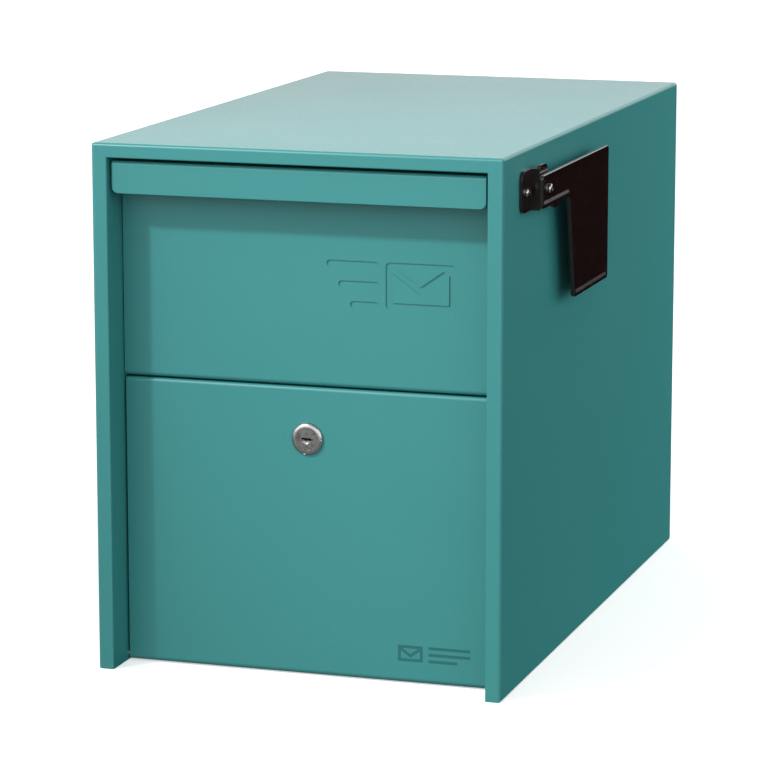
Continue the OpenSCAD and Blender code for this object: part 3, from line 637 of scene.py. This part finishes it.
def spring_steel():
    """Rolled spring steel, darker than zinc, with long rolling marks and a blued tint."""
    steel = Finish("spring_steel", Metallic=1.0)
    marks = steel.noise(1.0, 3.0, 0.6, steel.stretch(2400, 40, 40))
    tint = steel.noise(45, 2.0, 0.5)
    base = steel.mix(ease(steel.tree, tint, 0.4, 0.7), SPRING, SPRING_BLUE)
    return steel.feed(Base_Color=base, Roughness=0.27 + 0.2 * (marks - 0.5),
                      Normal=steel.bump(marks, 0.2, 0.03 * MM))


CLIP_T = 0.8 * MM
CLIP_FOOT = 12 * MM      # heights of its bends over its lower end
CLIP_BOW = 19 * MM
CLIP_PINCH = 58 * MM
CLIP_BEND_R = 4.5 * MM
clip_low, clip_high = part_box("mail_clip")
clip_bow = clip_high.y - clip_low.y - CLIP_T
clip = bmesh.new()
bends = [(0.0, clip_low.z), (0.0, clip_low.z + CLIP_FOOT), (clip_bow, clip_low.z + CLIP_BOW),
         (0.0, clip_low.z + CLIP_PINCH), (clip_bow / 2, clip_high.z)]
line = [clip.verts.new((clip_low.x, clip_low.y + out, z)) for out, z in bends]
for pair in zip(line, line[1:]):
    clip.edges.new(pair)
bmesh.ops.bevel(clip, geom=line[1:-1], offset=CLIP_BEND_R, segments=6, profile=0.5,
                affect="VERTICES", material=-1)
swept = bmesh.ops.extrude_edge_only(clip, edges=clip.edges[:])
bmesh.ops.translate(clip, vec=(clip_high.x - clip_low.x, 0, 0),
                    verts=[v for v in swept["geom"] if isinstance(v, bmesh.types.BMVert)])
bmesh.ops.recalc_face_normals(clip, faces=clip.faces)
if clip.faces[0].normal.y > 0:
    bmesh.ops.reverse_faces(clip, faces=clip.faces)
clip_piece = put("letter_clip", clip, "hopper", spring_steel(), ["mail_clip"])
wall = clip_piece.modifiers.new("thickness", "SOLIDIFY")
wall.thickness = CLIP_T
wall.offset = -1
rounding = clip_piece.modifiers.new("edges", "BEVEL")
rounding.width = 0.2 * MM
rounding.segments = 2
rounding.limit_method = "ANGLE"


# ---- Lower door ----
# The lower door is folded like the upper one, with flanges round its edges and a stiffening
# pan spot-welded behind. A small letter mark is screen-printed low on the right, in the
# casing's own colour several shades darker.
PRINT = (0.0105, 0.118, 0.127, 1)
MARK_LEFT = 63.6 * MM
MARK_FOOT = 15.8 * MM
MARK_TOP = 27.0 * MM
MARK_RIGHT = 114.3 * MM
MARK_LINE = 2.1 * MM
MARK_LETTER_W = 17.5 * MM
MARK_FOLD_DROP = 7.2 * MM
MARK_GAP = 4 * MM
MARK_SHORT_ROW = 9 * MM  # how far the first row stops short of the others
MARK_ROWS = 3
SKIN = 0.6 * MM          # the print takes only what lies this near the door's front


def printed_mark(coat, base):
    """An envelope outline and three lines of writing, printed over the coat."""
    x, y, z = coat.axes()

    def block(x0, x1, z0, z1):
        return (x > x0) * (x < x1) * (z > z0) * (z < z1)

    letter_right = MARK_LEFT + MARK_LETTER_W
    middle_x = (MARK_LEFT + letter_right) / 2
    outline = block(MARK_LEFT, letter_right, MARK_FOOT, MARK_TOP) * (
        1 - block(MARK_LEFT + MARK_LINE, letter_right - MARK_LINE,
                  MARK_FOOT + MARK_LINE, MARK_TOP - MARK_LINE))
    fold = MARK_TOP - MARK_FOLD_DROP + abs(x - middle_x) * 0.72
    flap = (abs(z - fold) < MARK_LINE * 0.62) * block(MARK_LEFT, letter_right, MARK_FOOT,
                                                      MARK_TOP)
    ink = outline + flap
    step = (MARK_TOP - MARK_FOOT - MARK_LINE) / (MARK_ROWS - 1)
    for row in range(MARK_ROWS):
        foot = MARK_FOOT + row * step
        end = MARK_RIGHT if row else MARK_RIGHT - MARK_SHORT_ROW
        ink = ink + block(letter_right + MARK_GAP, end, foot, foot + MARK_LINE)
    ink = (ink > 0.5) * (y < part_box("lower_door")[0].y + SKIN)
    return coat.mix(ink * (0.9 + 0.1 * coat.noise(1500, 1.0, 0.5)), base, PRINT)


sheet_piece("lower_door", "door", "locking_door", powder_coat("printed_coat", printed_mark),
            edge=0.5 * MM)
sheet_piece("stiffening_pan", "door_stiffener", "locking_door", edge=0.35 * MM)


# ---- Lock ----
# A cam lock in bright nickel-plated brass: a domed bezel over a threaded barrel, held by a
# large thin nut behind the door. The turned plug carries the keyway, and a zinc-plated cam on
# its squared end, held by a screw.
STEEL = (0.46, 0.455, 0.45, 1)
STEEL_DARK = (0.31, 0.305, 0.30, 1)
PLUG_STEEL = (0.33, 0.325, 0.32, 1)
PLUG_DARK = (0.12, 0.117, 0.115, 1)
BEZEL_FACE_R = 9.1 * MM
BEZEL_COLLAR = 1.2 * MM  # plain length between the bezel and the first thread
BARREL_R = 9.5 * MM
BARREL_PITCH = 1.0 * MM
LOCK_NUT_FLATS = 24 * MM
SQUARE_W = 6 * MM
FLUSH = 0.3 * MM         # the plug's face comes this much nearer the bezel's than in the frame
DIMPLES = ((0, 0.6 * MM), (101, 1.2 * MM))  # turn about the bezel in degrees, and radius


def bright_steel(name, centre, axis, base=STEEL, dark=STEEL_DARK, rough=0.20):
    """Bright metal turned on a lathe: fine rings about its own axis, and a few scuffs."""
    steel = Finish(name, Metallic=1.0)
    x, y, z = steel.axes()
    if axis == "y":
        first, second, depth = x - centre[0], z - centre[2], y
    else:
        first, second, depth = y - centre[1], z - centre[2], x
    radius = (first * first + second * second) ** 0.5
    rings = steel.node("ShaderNodeCombineXYZ", X=radius * 2600, Y=depth * 900)
    turning = steel.noise(1.0, 3.0, 0.6, rings)
    scuff = steel.noise(420, 3.0, 0.65)
    tone = steel.mix(ease(steel.tree, scuff, 0.42, 0.72), base, dark)
    gloss = rough + 0.22 * (turning - 0.5) + 0.14 * (scuff - 0.5)
    return steel.feed(Base_Color=tone, Roughness=gloss,
                      Normal=steel.bump(turning, 0.3, 0.03 * MM))


housing_low, housing_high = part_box("lock_housing")
plug_low, plug_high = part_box("lock_plug")
lock_at = (housing_low + housing_high) / 2
bezel_r = (housing_high.x - housing_low.x) / 2
plug_r = (plug_high.x - plug_low.x) / 2
bore_r = plug_r + 0.05 * MM
door_face_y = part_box("lower_door")[0].y
bezel_h = door_face_y - housing_low.y
housing_l = housing_high.y - housing_low.y
lock_metal = bright_steel("bright_nickel", lock_at, "y", rough=0.27)

bezel = [(bore_r, 0.1 * MM), (bore_r + 0.08 * MM, 0), (BEZEL_FACE_R - 0.4 * MM, 0),
         (BEZEL_FACE_R, 0.08 * MM),
         (9.6 * MM, 0.30 * MM), (10.25 * MM, 0.66 * MM), (10.7 * MM, 1.08 * MM),
         (11.0 * MM, 1.6 * MM), (bezel_r, 2.1 * MM), (bezel_r, bezel_h),
         (BARREL_R, bezel_h), (BARREL_R, bezel_h + BEZEL_COLLAR)]
depth_y = bezel_h + BEZEL_COLLAR
while depth_y < housing_l - 1.5 * BARREL_PITCH:
    bezel += [(BARREL_R - 0.45 * MM, depth_y + BARREL_PITCH / 2),
              (BARREL_R, depth_y + BARREL_PITCH)]
    depth_y += BARREL_PITCH
bezel += [(BARREL_R - 0.5 * MM, housing_l), (bore_r + 0.3 * MM, housing_l),
          (bore_r, housing_l - 0.3 * MM)]
housing = turned(bezel, (0, housing_low.y, lock_at.z), (0, 1, 0), steps=72, ring=True)
for turn, size in DIMPLES:
    dimple = bmesh.new()
    bmesh.ops.create_uvsphere(dimple, u_segments=16, v_segments=10, radius=size)
    reach = BEZEL_FACE_R + 0.95 * MM
    spot = Matrix.Rotation(math.radians(turn), 3, "Y") @ Vector((reach, 0, 0))
    bmesh.ops.translate(dimple, verts=dimple.verts,
                        vec=(spot.x, housing_low.y + 0.15 * MM, lock_at.z + spot.z))
    housing = carved(housing, dimple)
put("lock_bezel_and_barrel", housing, "locking_door", lock_metal,
    ["lock_housing"], sharp=40)

nut_low, nut_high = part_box("lock_nut")
lock_nut = hexagon(LOCK_NUT_FLATS, nut_high.y - nut_low.y, (0, nut_low.y, lock_at.z),
                   (0, 1, 0), bore=BARREL_R + 0.1 * MM, both_ends=True)
put("lock_nut_thin", lock_nut, "locking_door", zinc, ["lock_nut"])

plug_face = plug_low.y - FLUSH
cam_low, cam_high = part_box("lock_cam")
square_l = cam_high.y - plug_face
body_l = cam_low.y - plug_face - 0.3 * MM
plug = turned([(0, 0), (plug_r - 0.1 * MM, 0), (plug_r, 0.1 * MM), (plug_r, body_l - 0.3 * MM),
               (plug_r - 0.3 * MM, body_l), (0, body_l)], (0, plug_face, lock_at.z), (0, 1, 0),
              steps=64)
square = bmesh.new()
bmesh.ops.create_cube(square, size=1)
bmesh.ops.scale(square, vec=(SQUARE_W, square_l - body_l + 1 * MM, SQUARE_W),
                verts=square.verts)
bmesh.ops.bevel(square, geom=square.edges[:], offset=0.25 * MM, segments=2, profile=0.5,
                affect="EDGES", material=-1)
bmesh.ops.translate(square, verts=square.verts,
                    vec=(0, plug_face + (square_l + body_l - 1 * MM) / 2, lock_at.z))
plug = carved(plug, square, "UNION")
tap = turned([(0, 0), (2 * MM, 0), (2 * MM, 9 * MM), (0, 9 * MM)],
             (0, cam_high.y + 1 * MM, lock_at.z), (0, -1, 0), steps=24)
plug = carved(plug, tap)
KEYWAY = [(-3.6, 0.8), (-2.7, 1.4), (-1.7, 0.5), (-0.9, 1.1), (-0.1, 0.3), (0.8, 1.0),
          (1.9, 1.2), (2.9, 0.6), (3.6, 0.5), (3.6, -0.7), (2.4, -0.9), (1.4, -0.4),
          (0.4, -0.9), (-0.8, -1.0), (-1.8, -0.4), (-2.7, -0.1), (-3.6, -0.3)]
keyway = bmesh.new()
outline = keyway.faces.new([keyway.verts.new((x * MM, -1 * MM, z * MM)) for x, z in KEYWAY])
side = bmesh.ops.extrude_face_region(keyway, geom=[outline])
bmesh.ops.translate(keyway, vec=(0, 10 * MM, 0),
                    verts=[v for v in side["geom"] if isinstance(v, bmesh.types.BMVert)])
bmesh.ops.recalc_face_normals(keyway, faces=keyway.faces)
bmesh.ops.translate(keyway, vec=(0, plug_face, lock_at.z), verts=keyway.verts)
plug = carved(plug, keyway)
scoop = bmesh.new()
bmesh.ops.create_uvsphere(scoop, u_segments=32, v_segments=16, radius=1)
bmesh.ops.scale(scoop, vec=(2.7 * MM, 0.75 * MM, 2.2 * MM), verts=scoop.verts)
bmesh.ops.translate(scoop, vec=(-0.3 * MM, plug_face - 0.05 * MM, lock_at.z - 1.2 * MM),
                    verts=scoop.verts)
plug = carved(plug, scoop)
put("lock_plug_turned", plug, "lock_plug_body",
    bright_steel("turned_nickel", lock_at, "y", PLUG_STEEL, PLUG_DARK, 0.36), ["lock_plug"],
    sharp=40)

cam = put("lock_cam_plate", softened("lock_cam", 0.3 * MM), "lock_plug_body",
          zinc, ["lock_cam"])
even_shading(cam)


def cross_recess(width, reach, depth, start, along):
    """The tapered cross that a driver leaves in a screw head, ready to be cut out."""
    arms = []
    for turn in (0, 90):
        arm = bmesh.new()
        bmesh.ops.create_cube(arm, size=1)
        bmesh.ops.scale(arm, vec=(reach, width, depth * 2), verts=arm.verts)
        inner = [v for v in arm.verts if v.co.z < 0]
        bmesh.ops.scale(arm, vec=(0.45, 0.7, 1), verts=inner)
        bmesh.ops.rotate(arm, cent=(0, 0, 0), matrix=Matrix.Rotation(math.radians(turn), 3, "Z"),
                         verts=arm.verts)
        arms.append(arm)
    return moved(carved(arms[0], arms[1], "UNION"), start, along)


def pan_screw(head_r, head_h, shank_r, shank_l, start, along, turn=0):
    """A pan head with a cross recess, and its threaded shank behind it."""
    start, along = Vector(start), Vector(along)
    head = turned([(0, 0), (head_r - 0.1 * MM, 0), (head_r, 0.15 * MM),
                   (head_r, head_h * 0.35), (head_r * 0.93, head_h * 0.66),
                   (head_r * 0.78, head_h * 0.87), (head_r * 0.55, head_h * 0.97),
                   (0, head_h)], (0, 0, 0), (0, 0, 1), steps=40)
    recess = cross_recess(head_r * 0.30, head_r * 1.25, head_h * 0.62, (0, 0, head_h),
                          (0, 0, 1))
    bmesh.ops.rotate(recess, cent=(0, 0, 0), matrix=Matrix.Rotation(math.radians(turn), 3, "Z"),
                     verts=recess.verts)
    head = moved(carved(head, recess), start, along)
    return joined([head, threaded(shank_r, shank_l, start, -along, pitch=0.7 * MM)])


CAM_HEAD_H = 2.4 * MM
CAM_SHANK_R = 1.9 * MM
screw_low, screw_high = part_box("cam_screw")
cam_screw = pan_screw((screw_high.x - screw_low.x) / 2, CAM_HEAD_H, CAM_SHANK_R,
                      screw_high.y - screw_low.y - CAM_HEAD_H,
                      (0, screw_high.y - CAM_HEAD_H, lock_at.z), (0, 1, 0))
put("cam_screw_pan", cam_screw, "lock_plug_body", zinc, ["cam_screw"])


# ---- Flag bracket and its screws ----
# The bracket is moulded in dark brown plastic: a leaf on the side wall, a web that steps out,
# and a pivot plate with an ear and a lower stop. A bright pan-head screw and nut hold the leaf,
# and a shoulder screw with a nylon washer carries the flag.
BROWN = (0.0105, 0.0036, 0.0036, 1)
BROWN_WORN = (0.0150, 0.0055, 0.0054, 1)
NYLON = (0.70, 0.68, 0.62, 1)
NYLON_SHADE = (0.62, 0.60, 0.54, 1)
M4_HEAD_R = 3.5 * MM
M4_HEAD_H = 2.0 * MM
M4_SHANK_R = 2.0 * MM
M4_BORE_R = 2.05 * MM
M4_FLATS = 7 * MM
SHOULDER_R = 2.5 * MM
NYLON_BORE_R = 2.6 * MM
NYLON_RIM = 0.15 * MM


def brown_plastic():
    """Glossy moulded plastic, nearly black, with faint flow and sink marks."""
    plastic = Finish("dark_brown_plastic", IOR=1.62)
    flow = plastic.noise(1.0, 3.0, 0.6, plastic.stretch(90, 60, 160))
    grain = plastic.noise(1500, 2.0, 0.5)
    base = plastic.mix(ease(plastic.tree, flow, 0.45, 0.8), BROWN, BROWN_WORN)
    return plastic.feed(Base_Color=base, Roughness=0.20 + 0.10 * (flow - 0.5),
                        Normal=plastic.bump(grain, 0.06, 0.04 * MM,
                                            plastic.bump(flow, 0.10, 0.3 * MM)))


def natural_nylon():
    """Milky nylon with a soft surface."""
    nylon = Finish("natural_nylon", IOR=1.53, Subsurface_Weight=0.2)
    cloud = nylon.noise(500, 2.0, 0.5)
    return nylon.feed(Base_Color=nylon.mix(cloud, NYLON, NYLON_SHADE),
                      Roughness=0.42 + 0.1 * (cloud - 0.5),
                      Normal=nylon.bump(cloud, 0.1, 0.03 * MM))


brown = brown_plastic()
bracket = put("flag_bracket_moulded", softened("flag_bracket", 0.6 * MM, steps=3), "casing",
              brown, ["flag_bracket"])
even_shading(bracket)

screw_low, screw_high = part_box("bracket_screw")
screw_at = (screw_low + screw_high) / 2
head_x = screw_high.x - M4_HEAD_H
wall_screw = pan_screw(M4_HEAD_R, M4_HEAD_H, M4_SHANK_R, head_x - screw_low.x,
                       (head_x, screw_at.y, screw_at.z), (1, 0, 0), turn=20)
put("bracket_screw_pan", wall_screw, "casing",
    bright_steel("bracket_screw_nickel", screw_at, "x"), ["bracket_screw"])

pivot_low, pivot_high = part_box("pivot_screw")
pivot_at = (pivot_low + pivot_high) / 2
washer_low, washer_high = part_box("flag_washer")
head_x = pivot_high.x - M4_HEAD_H
shoulder_l = head_x - washer_low.x
pivot = joined([
    pan_screw(M4_HEAD_R, M4_HEAD_H, M4_SHANK_R, head_x - pivot_low.x,
              (head_x, pivot_at.y, pivot_at.z), (1, 0, 0), turn=55),
    turned([(M4_SHANK_R, 0), (SHOULDER_R - 0.2 * MM, 0), (SHOULDER_R, 0.2 * MM),
            (SHOULDER_R, shoulder_l), (M4_SHANK_R, shoulder_l)],
           (washer_low.x, pivot_at.y, pivot_at.z), (1, 0, 0), steps=32, ring=True)])
put("pivot_shoulder_screw", pivot, "casing",
    bright_steel("pivot_screw_nickel", pivot_at, "x"), ["pivot_screw"])

for node, name in (("bracket_nut", "bracket_nut_m4"), ("pivot_nut", "pivot_nut_m4")):
    low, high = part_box(node)
    middle = (low + high) / 2
    nut = hexagon(M4_FLATS, high.x - low.x, (low.x, middle.y, middle.z), (1, 0, 0),
                  bore=M4_BORE_R, both_ends=True)
    put(name, nut, "casing", zinc, [node])

nylon_ring = washer(NYLON_BORE_R, (washer_high.z - washer_low.z) / 2,
                    washer_high.x - washer_low.x, NYLON_RIM,
                    (washer_low.x, pivot_at.y, pivot_at.z), (1, 0, 0), steps=48)
put("flag_washer_nylon", nylon_ring, "casing", natural_nylon(), ["flag_washer"])


# ---- Signal flag ----
# A stiff flag moulded in the bracket's dark brown plastic, an arm with a tapering blade that
# hangs down. A raised rim runs round its edge, and slopes down to a panel that is sunk by a
# millimetre.
FLAG_CORNER = 3.0 * MM
FLAG_INSIDE = 3.0 * MM
FLAG_SHARPEST = 0.5 * MM
FLAG_EDGE = 0.6 * MM
RIM_W = 2.4 * MM
SLOPE_W = 2.3 * MM
PANEL_DEPTH = 0.95 * MM
PIVOT_BORE_R = 2.55 * MM
NECK_BACK = 50 * MM
BLADE_TAPER = 16 * MM
flag_low, flag_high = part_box("signal_flag")
neck = Vector((pivot_at.y + NECK_BACK, 2 * pivot_at.z - flag_high.z))
flag_corners = [Vector((flag_low.y, neck.y)), neck, Vector((neck.x + BLADE_TAPER, flag_low.z)),
                Vector((flag_high.y, flag_low.z)), Vector((flag_high.y, flag_high.z)),
                Vector((flag_low.y, flag_high.z))]


def flag_outline(inset, segments=8):
    """The flag's outline in Y and Z, drawn in by a distance, with every corner rounded."""
    points = []
    for k, here in enumerate(flag_corners):
        along = [(here - flag_corners[k - 1]).normalized(),
                 (flag_corners[(k + 1) % len(flag_corners)] - here).normalized()]
        first, last = (Vector((-way.y, way.x)) for way in along)
        mitre = (first + last) / (1 + first.dot(last))
        outward = along[0].cross(along[1]) > 0
        radius = max(FLAG_CORNER - inset, FLAG_SHARPEST) if outward else FLAG_INSIDE + inset
        bend = radius if outward else -radius
        for step in range(segments + 1):
            part = step / segments
            spoke = (first * (1 - part) + last * part).normalized()
            points.append(here + mitre * (inset + bend) - spoke * bend)
    return points


def arc(count):
    """Sine and one less cosine of even steps through a quarter turn."""
    return [(math.sin(math.pi / 2 * k / count), 1 - math.cos(math.pi / 2 * k / count))
            for k in range(count + 1)]


levels = [(flag_low.x + FLAG_EDGE * rise, FLAG_EDGE * (1 - run)) for run, rise in arc(4)]
levels += [(flag_high.x - FLAG_EDGE * (1 - run), FLAG_EDGE * rise) for run, rise in arc(4)]
levels += [(flag_high.x, RIM_W - 0.3 * MM), (flag_high.x - 0.05 * MM, RIM_W),
           (flag_high.x - 0.16 * MM, RIM_W + 0.3 * MM),
           (flag_high.x - PANEL_DEPTH + 0.10 * MM, RIM_W + SLOPE_W - 0.25 * MM),
           (flag_high.x - PANEL_DEPTH, RIM_W + SLOPE_W)]
flag = bmesh.new()
rings = [[flag.verts.new((x, *point)) for point in flag_outline(inset)] for x, inset in levels]
for lower, upper in zip(rings, rings[1:]):
    for k in range(len(lower)):
        after = (k + 1) % len(lower)
        flag.faces.new((lower[k], lower[after], upper[after], upper[k]))
flag.faces.new(rings[0][::-1])
flag.faces.new(rings[-1])
bmesh.ops.recalc_face_normals(flag, faces=flag.faces)
hole = turned([(0, 0), (PIVOT_BORE_R, 0), (PIVOT_BORE_R, 6 * MM), (0, 6 * MM)],
              (flag_low.x - 1 * MM, pivot_at.y, pivot_at.z), (1, 0, 0), steps=32)
flag_piece = put("signal_flag_moulded", carved(flag, hole), "flag", brown,
                 ["signal_flag"], sharp=50)
even_shading(flag_piece)


# ---- Size of the visual model ----
bpy.context.view_layer.update()
low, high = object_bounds()
